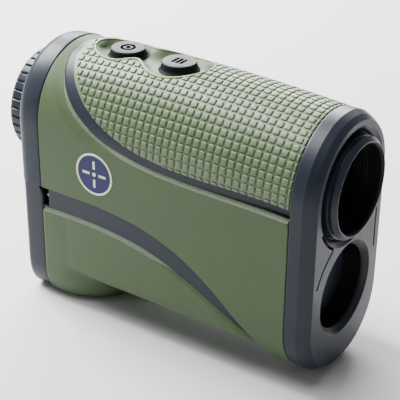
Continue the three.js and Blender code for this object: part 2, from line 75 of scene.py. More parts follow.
AXIS_Z = middle("objective_hood", "z")
RECEIVER_Z = middle("receiver_tube", "z")
EYEPIECE_Z = middle("eyepiece_barrel", "z")
RADIUS = high("rear_cover", "y")
LIP_X = high("objective_hood", "x")
FACE_X = high("front_bezel", "x")
COVER_X = low("rear_cover", "x")
DOOR_X = low("battery_door", "x")
DOOR_Z = high("battery_door", "z")
BELLY_Z = low("front_bezel", "z") + 0.4
BUTTON_Z = high("power_button", "z")
BUTTON_RADIUS = half_width("power_button", "x")
BOOT_RADIUS = half_width("power_button_boot", "x")
BUTTONS = {name: middle(name, "x") for name in ("power_button", "mode_button")}
WELL_Z = low("power_button_boot", "z") - 0.5
HOOD_RADIUS = 14.1
HOOD_BORE = 12.1
HOOD_BACK = 44.6  # where the hood and the linings start, inside the bezel
LINING_RADIUS = 12.5  # outside of the hood's lining
RECEIVER_BORE = 11.9
MOUTH = 12.55  # radius of the receiver's opening in the shell
CREASE = 12  # angle in degrees at which the bezel's facets stay sharp
DIOPTRE_RADIUS = half_width("dioptre_ring", "y")
RING_X = low("dioptre_ring", "x")
EYECUP_X = low("eyecup", "x")
BADGE_X = middle("badge_rim", "x")
BADGE_Z = middle("badge_rim", "z")
BADGE_RADIUS = half_width("badge_rim", "x")
HINGE_X = middle("door_hinge_pin", "x")
HINGE_Z = middle("door_hinge_pin", "z")

NOSE_X = high("side_armour", "x") + 0.3  # where the bezel meets the armour
TAIL_X = low("side_armour", "x") - 0.3  # where the cover meets the armour
SEAM = 0.08  # gap that shows between two shells
CROWN = 2.35  # how far the middle of the top arches above its round
CROWN_X = -6.0
CROWN_REACH = 50.0
STRIPE_DEPTH = 1.0  # how far the hard stripes lie below the armour
SKIN_DEPTH = 1.5  # underside of the armour
FOOT_X = -33.5  # centre of the foot's round front
FOOT_LENGTH = 19.8
FOOT_CORNER = 10.0  # height of its rounded lower edge
FOOT_DRAW = 5.6  # how far that edge draws in

GRIP_FLOOR = 0.34  # depth of the grooves between the pads
PAD_PITCH = 2.26
PAD_SIZE = 1.78
PAD_CORNER = 0.26
LIP_WIDTH = 0.56  # width of the piping round the recess
BEVEL = 1.0  # drop of the bevels that look up
BEVEL_REACH = 1.05

FORMS = {
    "nose": {"bottom": BELLY_Z, "width": 18.0, "height": 18.5},
    "keel": {"bottom": 8.5, "width": 6.5, "height": 6.5},
    "tail": {"bottom": 0.0, "width": FOOT_DRAW, "height": FOOT_CORNER},
}

# The armour's edges on the side view, as [x, z] control points of curves.
STRIPE_ABOVE = [(-33.2, 75.2), (-11.1, 47.6), (18.5, 57.1), (44, 54.5)]
STRIPE_BELOW = [(-35.4, 75.2), (-21.6, 47.2), (12.1, 53.9), (44, 51.8)]
SIDE_LOWER = [(-38, 36.4), (-6, 36.9), (9.5, 36.4), (33.4, 12.1)]
LOWER_UPPER = [(-38, 30), (-1.7, 31.3), (8.2, 26.4), (31.9, 12.2)]

QUARTER = RADIUS * math.pi / 2  # from the crown round to the flank


# ---- The skin of the body ----

def crown_at(x):
    return CROWN * np.maximum(0, 1 - ((x - CROWN_X) / CROWN_REACH) ** 2)


def lengths(form):
    """Where the flank, the lower corner and half the underside end, measured from the crown."""
    flank = QUARTER + AXIS_Z - form["bottom"] - form["height"]
    corner = flank + math.pi / 4 * (form["width"] + form["height"])
    return flank, corner, corner + RADIUS - form["width"]


def skin(form, x, s, depth=0.0):
    """Points sunk by depth at station x, at a distance s round the section from the crown."""
    form = FORMS[form]
    x, s, depth = np.broadcast_arrays(np.asarray(x, float), s, depth)
    flank, corner, _ = lengths(form)
    inner_y = RADIUS - form["width"]
    inner_z = form["bottom"] + form["height"]
    angle = np.clip(s, 0, QUARTER) / RADIUS
    y = RADIUS * np.sin(angle)
    z = AXIS_Z + (RADIUS + crown_at(x)) * np.cos(angle)
    out_y, out_z = np.sin(angle), np.cos(angle)
    z = np.where(s > QUARTER, AXIS_Z - (s - QUARTER), z)
    turn = np.clip((s - flank) / (corner - flank), 0, 1) * math.pi / 2
    below = s > flank
    y = np.where(below, inner_y + form["width"] * np.cos(turn), y)
    z = np.where(below, inner_z - form["height"] * np.sin(turn), z)
    slope = np.hypot(np.cos(turn) / form["width"], np.sin(turn) / form["height"])
    out_y = np.where(below, np.cos(turn) / form["width"] / slope, out_y)
    out_z = np.where(below, -np.sin(turn) / form["height"] / slope, out_z)
    y = np.where(s > corner, inner_y - (s - corner), y)
    return np.stack([x, -(y - depth * out_y), z - depth * out_z], axis=-1)


def along_skin(form, x, z):
    """The distance s round the section at which the skin has height z."""
    form = FORMS[form]
    flank, corner, _ = lengths(form)
    on_top = RADIUS * np.arccos(np.clip((z - AXIS_Z) / (RADIUS + crown_at(x)), -1, 1))
    drop = np.clip((form["bottom"] + form["height"] - z) / form["height"], 0, 1)
    in_corner = flank + np.arcsin(drop) / (math.pi / 2) * (corner - flank)
    on_flank = QUARTER + AXIS_Z - z
    return np.where(z > AXIS_Z, on_top, np.where(on_flank < flank, on_flank, in_corner))


def curve(controls, count):
    """Points of a cubic curve."""
    t = np.linspace(0, 1, count)[:, None]
    a, b, c, d = [np.array(p, float) for p in controls]
    return a * (1 - t) ** 3 + 3 * b * t * (1 - t) ** 2 + 3 * c * t * t * (1 - t) + d * t ** 3


def on_skin(form, points):
    """[x, z] points as [x, s] points, kept between the two seams."""
    x = np.clip(points[:, 0], TAIL_X + SEAM, NOSE_X - SEAM)
    return np.stack([x, along_skin(form, x, points[:, 1])], axis=1)


def resampled(path, count):
    """The same path with its points evenly spaced."""
    steps = np.linalg.norm(np.diff(path, axis=0), axis=1)
    at = np.concatenate([[0], np.cumsum(steps)])
    wanted = np.linspace(0, at[-1], count)
    return np.stack([np.interp(wanted, at, path[:, k]) for k in range(path.shape[1])], axis=1)


def straight(start, end, count):
    return np.linspace(np.array(start, float), np.array(end, float), count)


# How far from an edge the grid's lines lie.
EDGE_STEPS = np.array([0, 0.06, 0.14, 0.24, 0.36, 0.52, 0.75, 1.05, 1.45, 1.95, 2.6, 3.4])


def rows_between(a, b, count, far_edge=True):
    """A grid of points from path a to path b, with its lines closer together near the edges."""
    gap = b - a
    length = np.maximum(np.linalg.norm(gap, axis=1), 1e-6)

    def near(path):
        tangent = np.gradient(path, axis=0)
        tangent /= np.maximum(np.linalg.norm(tangent, axis=1), 1e-9)[:, None]
        sine = np.abs(tangent[:, 0] * gap[:, 1] - tangent[:, 1] * gap[:, 0]) / length
        steps = EDGE_STEPS / (length * np.maximum(sine, 0.35))[:, None]
        return steps * np.minimum(1, 0.42 / steps[:, -1:])

    start = near(a)
    end = 1 - near(b)[:, ::-1] if far_edge else np.ones((len(a), 1))
    share = np.linspace(0, 1, count)[1:-1]
    between = start[:, -1:] + (end[:, :1] - start[:, -1:]) * share
    at = np.concatenate([start, between, end], axis=1)
    return a[:, None] + gap[:, None] * at[..., None]


def distance(points, path):
    """How far each [x, s] point is from a path."""
    start, along = path[:-1], np.diff(path, axis=0)
    square = np.maximum((along ** 2).sum(1), 1e-12)
    nearest = np.full(points.shape[:-1], np.inf)
    for p, v, q in zip(start, along, square):
        t = np.clip(((points - p) @ v) / q, 0, 1)
        nearest = np.minimum(nearest, np.linalg.norm(points - p - t[..., None] * v, axis=-1))
    return nearest


def rounded(away, radius):
    """How far an edge of that radius has dropped at a distance from its brink."""
    return radius - np.sqrt(radius ** 2 - np.clip(radius - away, 0, radius) ** 2)


def full_turn(count):
    """Evenly spaced angles all the way round."""
    return np.arange(count) / count * 2 * math.pi


def smooth(t):
    t = np.clip(t, 0, 1)
    return t * t * (3 - 2 * t)


# ---- Making meshes ----

class Shape:
    """Points and faces gathered from grids, outlines and lathes."""

    def __init__(self):
        self.points = []
        self.faces = []

    def add(self, points, faces):
        start = len(self.points)
        self.points.extend(np.reshape(points, (-1, 3)).tolist())
        self.faces.extend([start + i for i in face] for face in faces)

    def grid(self, points, flip=False, wrap=False):
        rows, columns = points.shape[:2]
        faces = []
        for i in range(rows - 1):
            for j in range(columns if wrap else columns - 1):
                k = (j + 1) % columns
                face = [i * columns + j, i * columns + k, (i + 1) * columns + k,
                        (i + 1) * columns + j]
                faces.append(face[::-1] if flip else face)
        self.add(points, faces)

    def cap(self, ring, flip=False):
        order = list(range(len(ring)))
        self.add(ring, [order[::-1] if flip else order])

    def shell(self, outer, inner, edges):
        """A skin between two grids, walled along the named edges: first, last, start, end."""
        self.grid(outer)
        self.grid(inner, flip=True)
        sides = {
            "first": (outer[0], inner[0], True),
            "last": (outer[-1], inner[-1], False),
            "start": (outer[:, 0], inner[:, 0], False),
            "end": (outer[:, -1], inner[:, -1], True),
        }
        for edge in edges:
            over, under, flip = sides[edge]
            self.grid(np.stack([over, under]), flip=flip)

    def loft(self, rings):
        """A closed solid through rings that run the same way round."""
        self.grid(np.stack(rings), wrap=True)
        self.cap(rings[0], flip=True)
        self.cap(rings[-1])


def mesh_of(shape, name, sharp=35):
    """A smooth-shaded mesh object in metres, its doubled points merged and its faces outward."""
    mesh = bpy.data.meshes.new(name)
    mesh.from_pydata((np.array(shape.points) * MM).tolist(), [], shape.faces)
    obj = bpy.data.objects.new(name, mesh)
    bpy.context.scene.collection.objects.link(obj)
    tidy_mesh(mesh, sharp)
    return obj


def tidy_mesh(mesh, sharp):
    work = bmesh.new()
    work.from_mesh(mesh)
    bmesh.ops.remove_doubles(work, verts=work.verts, dist=2e-6)
    bmesh.ops.dissolve_degenerate(work, edges=work.edges, dist=1e-6)
    bmesh.ops.recalc_face_normals(work, faces=work.faces)
    work.to_mesh(mesh)
    work.free()
    mesh.polygons.foreach_set("use_smooth", [True] * len(mesh.polygons))
    mesh.set_sharp_from_angle(angle=math.radians(sharp))


def apply_modifiers(obj, sharp=35):
    graph = bpy.context.evaluated_depsgraph_get()
    made = bpy.data.meshes.new_from_object(obj.evaluated_get(graph))
    obj.modifiers.clear()
    obj.data = made
    tidy_mesh(made, sharp)


def mirrored(obj, sharp=35):
    """Adds the +Y half of a piece whose -Y half is made."""
    modifier = obj.modifiers.new("other half", "MIRROR")
    modifier.use_axis = (False, True, False)
    modifier.merge_threshold = 5e-6
    apply_modifiers(obj, sharp)
    return obj


def carved(obj, cutters, sharp=35):
    """Cuts each shape out of a piece."""
    for cutter in cutters:
        tool = mesh_of(cutter, "cutter")
        modifier = obj.modifiers.new("cut", "BOOLEAN")
        modifier.operation = "DIFFERENCE"
        modifier.solver = "EXACT"
        modifier.object = tool
        apply_modifiers(obj, sharp)
        bpy.data.objects.remove(tool)
    return obj


def finished(obj, material, slot, *replaced, body="housing"):
    """Gives a piece its material and its body, and hides the CAD nodes that it stands for. The slot
    argument is not used.
    """
    obj.data.materials.clear()
    obj.data.materials.append(material)
    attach(obj, body)
    if replaced:
        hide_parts(*replaced)


def lathe(outline, z=AXIS_Z, y=0.0, count=128, radius_at=None):
    """A solid turned about a line along X from [x, radius] points that close on themselves."""
    shape = Shape()
    angle = full_turn(count)
    rings = []
    for x, radius in outline:
        r = np.full(count, float(radius))
        if radius_at:
            r = radius_at(x, r, angle)
        rings.append(np.stack([np.full(count, float(x)), y - r * np.sin(angle),
                               z + r * np.cos(angle)], axis=1))
    shape.grid(np.stack(rings + rings[:1]), wrap=True)
    return shape


def lathe_z(outline, x, count=96):
    """A solid turned about an upright line from [z, radius] points."""
    shape = Shape()
    angle = full_turn(count)
    rings = [np.stack([x + r * np.cos(angle), r * np.sin(angle), np.full(count, float(z))], 1)
             for z, r in outline]
    shape.grid(np.stack(rings + rings[:1]), wrap=True)
    return shape


def box(x, y, z):
    shape = Shape()
    ring = [(x[0], y[0]), (x[1], y[0]), (x[1], y[1]), (x[0], y[1])]
    shape.loft([np.array([(a, b, c) for a, b in ring]) for c in z])
    return shape


# ---- Housing and armour ----

def full_ring(form, x, depth, count=160):
    """A closed section at station x, evenly spaced round it."""
    end = lengths(FORMS[form])[2]
    s = np.linspace(0, end, count // 2 + 1)
    half = skin(form, x, s, depth)
    other = half[1:-1][::-1] * [1, -1, 1]
    return np.concatenate([half, other])


def polar_reach(form, height, angle):
    """How far the section reaches from a point on the middle plane, by angle from straight down."""
    s = np.linspace(0, lengths(FORMS[form])[2], 400)
    points = skin(form, CROWN_X, s)
    at = np.arctan2(-points[:, 1], height - points[:, 2])
    reach = np.hypot(points[:, 1], points[:, 2] - height)
    order = np.argsort(at)
    return np.interp(angle, at[order], reach[order])


def housing_core():
    """The hard body under the armour, which shows as the two stripes."""
    centre = 40.0
    count = 240
    angle = full_turn(count)
    fold = np.minimum(angle, 2 * math.pi - angle)
    keel = polar_reach("keel", centre, fold)
    nose = polar_reach("nose", centre, fold)
    rings = []
    for x in np.linspace(TAIL_X + SEAM, NOSE_X - SEAM, 84):
        share = smooth((x - 37) / 3)
        reach = np.minimum(keel, nose) * (1 - share) + nose * share
        arch = np.clip(-np.cos(fold), 0, 1) * (crown_at(x) - CROWN)
        reach = reach - STRIPE_DEPTH + arch
        rings.append(np.stack([np.full(count, x), reach * np.sin(angle),
                               centre - reach * np.cos(angle)], axis=1))
    shape = Shape()
    shape.loft(rings)
    well = upright(well_outline(0.5), WELL_Z - 4, 90)
    lanyard_slot = box((TAIL_X - 1, -36), (-30, -14.5), (30.4, 36.2))
    return carved(mesh_of(shape, "housing_core"), [well, lanyard_slot])


def grip_edge(count):
    """The grip panel's edge, from its tip on the crown to the bezel."""
    path = on_skin("nose", curve(STRIPE_ABOVE, 200))
    path[0, 1] = 0
    return resampled(path, count)


def grip_panel():
    edge = grip_edge(150)
    share = np.linspace(0, 1, len(edge)) ** 1.15
    crown = np.stack([-24 + (NOSE_X - SEAM + 24) * share, np.zeros(len(edge))], axis=1)
    points = rows_between(edge, crown, 34, far_edge=False)
    brink = np.concatenate([edge, straight(edge[-1], (NOSE_X - SEAM, 0), 20)])
    depth = GRIP_FLOOR + rounded(distance(points, brink), 0.25)
    x, s = points[..., 0], points[..., 1]
    shape = Shape()
    shape.shell(skin("nose", x, s, depth), skin("nose", x, s, SKIN_DEPTH), ["start", "last"])
    panel = mirrored(mesh_of(shape, "grip_panel"))
    return carved(panel, [upright(well_outline(0.3), 60, 90)])


def clipped(polygon, point, inward):
    """The part of a convex polygon on the inward side of a line through a point."""
    kept = []
    side = (polygon - point) @ inward
    for i in range(len(polygon)):
        j = (i + 1) % len(polygon)
        if side[i] >= 0:
            kept.append(polygon[i])
        if side[i] * side[j] < 0:
            kept.append(polygon[i] + (polygon[j] - polygon[i]) * side[i] / (side[i] - side[j]))
    return np.array(kept)


def trimmed(polygon, path, inside, margin):
    """A pad cut back to stay a margin inside a path; inside tells which side of it to keep."""
    centre = polygon.mean(axis=0)
    spot = np.argmin(np.linalg.norm(path - centre, axis=1))
    ahead, behind = path[min(spot + 1, len(path) - 1)], path[max(spot - 1, 0)]
    tangent = (ahead - behind) / max(np.linalg.norm(ahead - behind), 1e-9)
    inward = np.array([-tangent[1], tangent[0]]) * inside
    return clipped(polygon, path[spot] + inward * margin, inward)


def pad_outline(x, s):
    half = PAD_SIZE / 2 - PAD_CORNER
    points = []
    for k, (a, b) in enumerate([(1, 1), (-1, 1), (-1, -1), (1, -1)]):
        for turn in (0, 30, 60, 90):
            angle = math.radians(90 * k + turn)
            points.append((x + a * half + PAD_CORNER * math.cos(angle),
                           s + b * half + PAD_CORNER * math.sin(angle)))
    return np.array(points)


def area(polygon):
    a, b = polygon.T
    return 0.5 * abs(np.dot(a, np.roll(b, -1)) - np.dot(b, np.roll(a, -1)))


def grip_pads():
    """Raised pads in rows, cut short at the panel's edge and round the buttons."""
    edge = grip_edge(900)
    hole = well_outline(LIP_WIDTH + 0.15)
    on_top = np.stack([hole[:, 0], RADIUS * np.arcsin(np.clip(hole[:, 1] / RADIUS, -1, 1))], 1)
    shape = Shape()
    for column in range(36):
        x = NOSE_X + 0.1 - PAD_PITCH * column
        for row in range(-16, 17):
            pad = pad_outline(x, PAD_PITCH * row)
            side = -1 if row < 0 else 1
            flipped = pad * [1, side]
            flipped = clipped(flipped, np.array([NOSE_X - SEAM - 0.1, 0]), np.array([-1, 0]))
            if len(flipped) < 3:
                continue
            flipped = trimmed(flipped, edge, -1, 0.08 + smooth((-20 - x) / 7))
            if len(flipped) < 3:
                continue
            pad = trimmed(flipped * [1, side], on_top, -1, 0)
            if len(pad) < 3 or area(pad) < 0.35:
                continue
            add_pad(shape, pad)
    return mesh_of(shape, "grip_pads", 60)


def add_pad(shape, pad):
    centre = pad.mean(axis=0)
    spread = math.sqrt(area(pad))
    rings = []
    for shrink, depth in ((0, GRIP_FLOOR + 0.15), (0.05, 0.14), (0.12, 0.04), (0.24, 0)):
        ring = centre + (pad - centre) * (1 - 2 * shrink / spread)
        points = skin("nose", ring[:, 0], np.abs(ring[:, 1]), depth)
        points[:, 1] *= np.sign(ring[:, 1] + 1e-9)
        rings.append(points)
    shape.grid(np.stack(rings), wrap=True)
    shape.cap(rings[-1])
    shape.cap(rings[0], flip=True)


def side_reach(x):
    """Width of the side panel's bevel, which broadens into a dish at the rear."""
    return BEVEL_REACH + 2.6 * smooth((-8 - x) / 14)


def bevel_band(name, form, path, reach_at, faded_end):
    """A thin skin over a bevel that tapers to one end. It carries the coarser moulded grain and a
    painted highlight: its pale colour stands in for the light that the upward bevel catches.
    """
    path = resampled(path, 220)
    tangent = np.gradient(path, axis=0)
    tangent /= np.linalg.norm(tangent, axis=1)[:, None]
    down = np.stack([-tangent[:, 1], tangent[:, 0]], axis=1)
    taper = np.clip(np.linalg.norm(path - path[faded_end], axis=1) / 9, 0.08, 1)
    away = 0.1 + (BEVEL_REACH - 0.1) * taper[:, None] * np.linspace(0, 1, 7)
    points = path[:, None] + down[:, None] * away[..., None]
    x, s = points[..., 0], points[..., 1]
    depth = BEVEL * (1 - away / reach_at(x)) - 0.02
    shape = Shape()
    shape.shell(skin(form, x, s, depth), skin(form, x, s, depth + 0.2),
                ["first", "last", "start", "end"])
    return mirrored(mesh_of(shape, name))


def side_band():
    edge = on_skin("nose", curve(STRIPE_BELOW, 400))
    edge = edge[(edge[:, 0] > -33) & (edge[:, 0] < NOSE_X - 0.2)]
    return bevel_band("side_bevel_grain_and_highlight", "nose", edge, side_reach, 0)


def lower_band():
    edge = on_skin("keel", curve(LOWER_UPPER, 200))
    edge = edge[(edge[:, 0] > TAIL_X + 0.2) & (edge[:, 0] < 10)]
    return bevel_band("lower_bevel_grain_and_highlight", "keel", edge, lambda x: BEVEL_REACH, -1)


def side_panel():
    """Smooth rubber on both flanks, over the rear of the top and under the nose."""
    counts = (70, 90, 70)
    end = lengths(FORMS["nose"])[2]
    lower = on_skin("nose", curve(SIDE_LOWER, 200))
    upper = on_skin("nose", curve(STRIPE_BELOW, 400))
    upper[0, 1] = 0
    belly = on_skin("nose", np.array([(33.4, 12.1), (37.4, 7.4), (41.2, BELLY_Z)]))
    belly = np.concatenate([belly, [(41.5, end)]])
    split = np.searchsorted(upper[:, 0], 4)
    rear = [
        straight((TAIL_X + SEAM, 0), lower[0], counts[0]),
        resampled(lower, counts[1] + 1)[1:],
        resampled(belly, counts[2] + 1)[1:],
    ]
    fore = [
        resampled(upper[:split + 1], counts[0]),
        resampled(upper[split:], counts[1] + 1)[1:],
        straight(upper[-1], (NOSE_X - SEAM, end), counts[2] + 1)[1:],
    ]
    a, b = np.concatenate(rear), np.concatenate(fore)
    points = rows_between(a, b, 30)
    edge = distance(points, resampled(upper, 300))
    bevel = BEVEL * np.clip(1 - edge / side_reach(points[..., 0]), 0, 1)
    brink = np.minimum(distance(points, resampled(a, 300)), distance(points, resampled(b, 300)))
    depth = bevel + rounded(brink, 0.25)
    x, s = points[..., 0], points[..., 1]
    shape = Shape()
    shape.shell(skin("nose", x, s, depth), skin("nose", x, s, SKIN_DEPTH), ["start", "end"])
    panel = mirrored(mesh_of(shape, "side_panel"))
    return carved(panel, [rod_y(BADGE_RADIUS + 0.12, -RADIUS - 1, -RADIUS + 0.5, BADGE_X, BADGE_Z)])


def rod_y(radius, start, end, x, z, count=96):
    shape = Shape()
    angle = full_turn(count)
    shape.loft([np.stack([x + radius * np.cos(angle), np.full(count, y), z + radius * np.sin(angle)],
                         axis=1) for y in (start, end)])
    return shape


def foot_reach(x, height, angle):
    """How far the foot reaches at station x from a point on the middle plane."""
    near, far = np.zeros_like(angle), np.full_like(angle, 60.0)
    for _ in range(40):
        reach = (near + far) / 2
        y, z = reach * np.sin(angle), height - reach * np.cos(angle)
        drop = np.clip(1 - z / FOOT_CORNER, 0, 1)
        draw = FOOT_DRAW * (1 - np.sqrt(1 - drop ** 2))
        along = np.maximum(x - FOOT_X, 0) / (FOOT_LENGTH - draw)
        half = (RADIUS - draw) * np.sqrt(np.clip(1 - along ** 2, 0, 1))
        inside = (y < half) & (z > 0) & (along < 1)
        near, far = np.where(inside, reach, near), np.where(inside, far, reach)
    return near


def lower_panel():
    """Smooth rubber under the lower stripe, with the foot that holds the battery."""
    centre = 25.0
    count = 150
    edge = curve(LOWER_UPPER, 120)
    edge = np.concatenate([edge, [(34.6, 8.7)]])
    x = np.clip(edge[:, 0], TAIL_X + SEAM, None)
    half = -skin("keel", x, along_skin("keel", x, edge[:, 1]))[:, 1]
    edge = resampled(np.stack([x, np.arctan2(half, centre - edge[:, 1]) * RADIUS], axis=1), count)
    share = np.linspace(0, 1, count)
    spine = np.stack([TAIL_X + SEAM + (35.4 - TAIL_X) * share, np.zeros(count)], axis=1)
    points = rows_between(edge, spine, 70, far_edge=False)
    stations, angle = points[..., 0], points[..., 1] / RADIUS
    keel = polar_reach("keel", centre, angle)
    foot = foot_reach(stations, centre, angle)
    fillet = 0.9
    blend = np.clip(0.5 + 0.5 * (foot - keel) / fillet, 0, 1)
    low_down = smooth((15 - centre + keel * np.cos(angle)) / 4)  # 1 near the foot, 0 above it
    reach = keel + (foot - keel) * blend + fillet * blend * (1 - blend) * low_down
    bevel = BEVEL * np.clip(1 - distance(points, edge) / BEVEL_REACH, 0, 1)
    rear = rounded(stations - TAIL_X - SEAM, 0.25)
    front = straight(edge[-1], spine[-1], 20)
    tip = rounded(distance(points, front), 0.5)
    brink = rounded(distance(points, edge), 0.25)

    def placed(depth):
        r = reach - depth
        return np.stack([stations, -r * np.sin(angle), centre - r * np.cos(angle)], axis=-1)

    shape = Shape()
    shape.shell(placed(bevel + rear + tip + brink), placed(SKIN_DEPTH), ["first", "last", "start"])
    return mirrored(mesh_of(shape, "lower_panel"))


# ---- The recess round the buttons ----

def well_outline(grow, count=30):
    """The recess seen from above, closed: a lobe round each button and a neck between."""
    back, front = -30.5 - grow, 7.0 + grow
    lobe, neck, broad = 6.8 + grow, 4.4 + grow, 8.2 + grow
    stretches = [
        [(back, 0), (back, -4.2), (-27, -lobe), (-21.5, -lobe)],
        [(-21.5, -lobe), (-18, -lobe), (-16.6, -neck), (-14.2, -neck)],
        [(-14.2, -neck), (-11.6, -neck), (-10.5, -broad), (-4.6, -broad)],
        [(-4.6, -broad), (1.5, -broad), (front, -4), (front, 0)],
    ]
    half = np.concatenate([curve(c, count)[:-1] for c in stretches] + [[(front, 0)]])
    other = half[1:-1][::-1] * [1, -1]
    return np.concatenate([half, other])


def upright(outline, bottom, top):
    shape = Shape()
    level = np.ones((len(outline), 1))
    shape.loft([np.concatenate([outline, level * bottom], 1),
                np.concatenate([outline, level * top], 1)])
    return shape


def top_height(x, y):
    return AXIS_Z + (RADIUS + crown_at(x)) * np.sqrt(np.clip(1 - (y / RADIUS) ** 2, 0, 1))


def well_floor():
    """A smooth floor that rises to its rim, with a hole under each button."""
    rim = well_outline(0.2)
    half = rim[:len(rim) // 2 + 1]
    half = resampled(half, 160)
    spine = np.stack([np.clip(half[:, 0], -29, 5.5), np.zeros(len(half))], axis=1)
    at = np.linspace(0, 1, 34)[None, :, None] ** 1.3
    points = half[:, None] + (spine - half)[:, None] * at
    x, y = points[..., 0], points[..., 1]
    away = distance(points, half)
    edge = top_height(half[:, 0], half[:, 1])[:, None] - 0.35
    z = edge + (WELL_Z - edge) * smooth(away / 3.2)
    for centre in BUTTONS.values():
        z = np.where(np.hypot(x - centre, y) < BOOT_RADIUS - 0.45, WELL_Z - 2.2, z)
    under = np.full_like(z, WELL_Z - 3)
    shape = Shape()
    shape.shell(np.stack([x, y, z], -1), np.stack([x, y, under], -1), ["start"])
    return mirrored(mesh_of(shape, "well_floor"), 50)


def well_piping():
    """The raised cord-like rim round the recess, coloured pale as a painted highlight along it."""
    line = well_outline(LIP_WIDTH / 2)
    line = resampled(np.concatenate([line, line[:1]]), 241)[:-1]
    ahead = np.roll(line, -1, axis=0) - np.roll(line, 1, axis=0)
    ahead /= np.linalg.norm(ahead, axis=1)[:, None]
    out = np.stack([ahead[:, 1], -ahead[:, 0]], axis=1)
    centre_z = top_height(line[:, 0], line[:, 1]) - 0.3
    rings = []
    for angle in np.linspace(0, 2 * math.pi, 16, endpoint=False):
        side = line + out * LIP_WIDTH / 2 * math.cos(angle)
        rings.append(np.concatenate([side, (centre_z + 0.34 * math.sin(angle))[:, None]], axis=1))
    shape = Shape()
    shape.grid(np.stack(rings + rings[:1]), wrap=True)
    return mesh_of(shape, "well_piping", 80)


def button_face(name):
    """The top of a key, slightly dished. Its grey is painted light: the lit top of the same dark key."""
    x, top, r = BUTTONS[name], BUTTON_Z, BUTTON_RADIUS
    return mesh_of(lathe_z([
        (top - 1, 0.01), (top - 1, r - 0.3), (top - 0.28, r - 0.1), (top - 0.1, r - 0.2),
        (top, r - 0.5), (top - 0.1, r - 2.4), (top - 0.16, 0.01),
    ], x), name + "_face", 40)


def button_mark(name, mark):
    shape = Shape()
    for part in mark(BUTTONS[name], BUTTON_Z - 0.18):
        shape.add(part.points, part.faces)
    return mesh_of(shape, name + "_mark", 40)


def button_wall(name):
    """The side of a key, down into the boot. Its black rubber is painted shade on the same key whose top
    is painted lit.
    """
    bottom, top, r = WELL_Z - 0.9, BUTTON_Z, BUTTON_RADIUS
    shape = lathe_z([(bottom, 0.01), (bottom, r - 0.05), (top - 0.5, r), (top - 0.3, r - 0.08),
                     (top - 0.25, r - 0.2), (top - 0.9, r - 0.3), (top - 0.9, 0.01)], BUTTONS[name])
    return mesh_of(shape, name + "_wall", 40)


def ring_mark(x, z):
    """A raised ring with a dot in it."""
    yield lathe_z([(z, 1.4), (z + 0.16, 1.45), (z + 0.16, 2.15), (z, 2.2)], x)
    yield lathe_z([(z, 0.01), (z, 0.72), (z + 0.16, 0.65), (z + 0.16, 0.01)], x)


def bar_mark(x, z):
    """Three raised bars side by side."""
    for shift in (-1.3, 0, 1.3):
        yield box((x + shift - 0.35, x + shift + 0.35), (-1.7, 1.7), (z, z + 0.16))


def button_boot(name):
    r = BUTTON_RADIUS + 0.12
    shape = lathe_z([(WELL_Z - 0.6, r + 0.02), (WELL_Z - 0.6, BOOT_RADIUS + 0.2),
                     (WELL_Z + 0.12, BOOT_RADIUS + 0.1), (WELL_Z + 0.35, r + 0.35),
                     (WELL_Z + 0.8, r + 0.14), (WELL_Z + 1.25, r + 0.02)],
                    BUTTONS[name])
    return mesh_of(shape, name + "_skirt", 60)


# ---- Badge ----

def badge_rim():
    shape = Shape()
    count = 96
    angle = full_turn(count)
    rings = []
    for out, lift in ((0, 0.5), (0, -0.1), (-0.15, -0.2), (-0.4, -0.2), (-0.6, -0.1), (-0.6, 0.5)):
        radius = BADGE_RADIUS + out
        rings.append(np.stack([BADGE_X + radius * np.cos(angle), np.full(count, lift - RADIUS),
                               BADGE_Z + radius * np.sin(angle)], axis=1))
    shape.grid(np.stack(rings + rings[:1]), wrap=True)
    return mesh_of(shape, "badge_ring")


def badge_mark():
    """A plain aiming mark: four short bars round a dot."""
    shape = Shape()
    y = (-RADIUS - 0.12, -RADIUS + 0.2)
    for quarter in range(4):
        turn = math.radians(90 * quarter)
        bar = box((1.6, 4.0), y, (-0.35, 0.35))
        points = np.array(bar.points)
        x = points[:, 0] * math.cos(turn) - points[:, 2] * math.sin(turn)
        z = points[:, 0] * math.sin(turn) + points[:, 2] * math.cos(turn)
        shape.add(np.stack([BADGE_X + x, points[:, 1], BADGE_Z + z], axis=1), bar.faces)
    dot = rod_y(0.6, *y, BADGE_X, BADGE_Z, 24)
    shape.add(dot.points, dot.faces)
    return mesh_of(shape, "badge_mark")


def badge_face():
    return mesh_of(rod_y(BADGE_RADIUS - 0.55, -RADIUS - 0.02, -RADIUS + 0.4, BADGE_X, BADGE_Z),
                   "badge_face")


# ---- Front ----

def groove(path, width, depth):
    """A cutter for a groove in the face that follows [y, z] points."""
    path = np.array(path)
    ahead = np.gradient(path, axis=0)
    ahead /= np.linalg.norm(ahead, axis=1)[:, None]
    side = np.stack([-ahead[:, 1], ahead[:, 0]], axis=1) * width / 2
    outline = np.concatenate([path + side, (path - side)[::-1]])
    shape = Shape()
    shape.loft([np.concatenate([np.full((len(outline), 1), x), outline], axis=1)
                for x in (FACE_X - depth, FACE_X + 3)])
    return shape


def arc(radius, z, start, end, count=24):
    angle = np.radians(np.linspace(start, end, count))
    return [(radius * math.cos(a), z + radius * math.sin(a)) for a in angle]


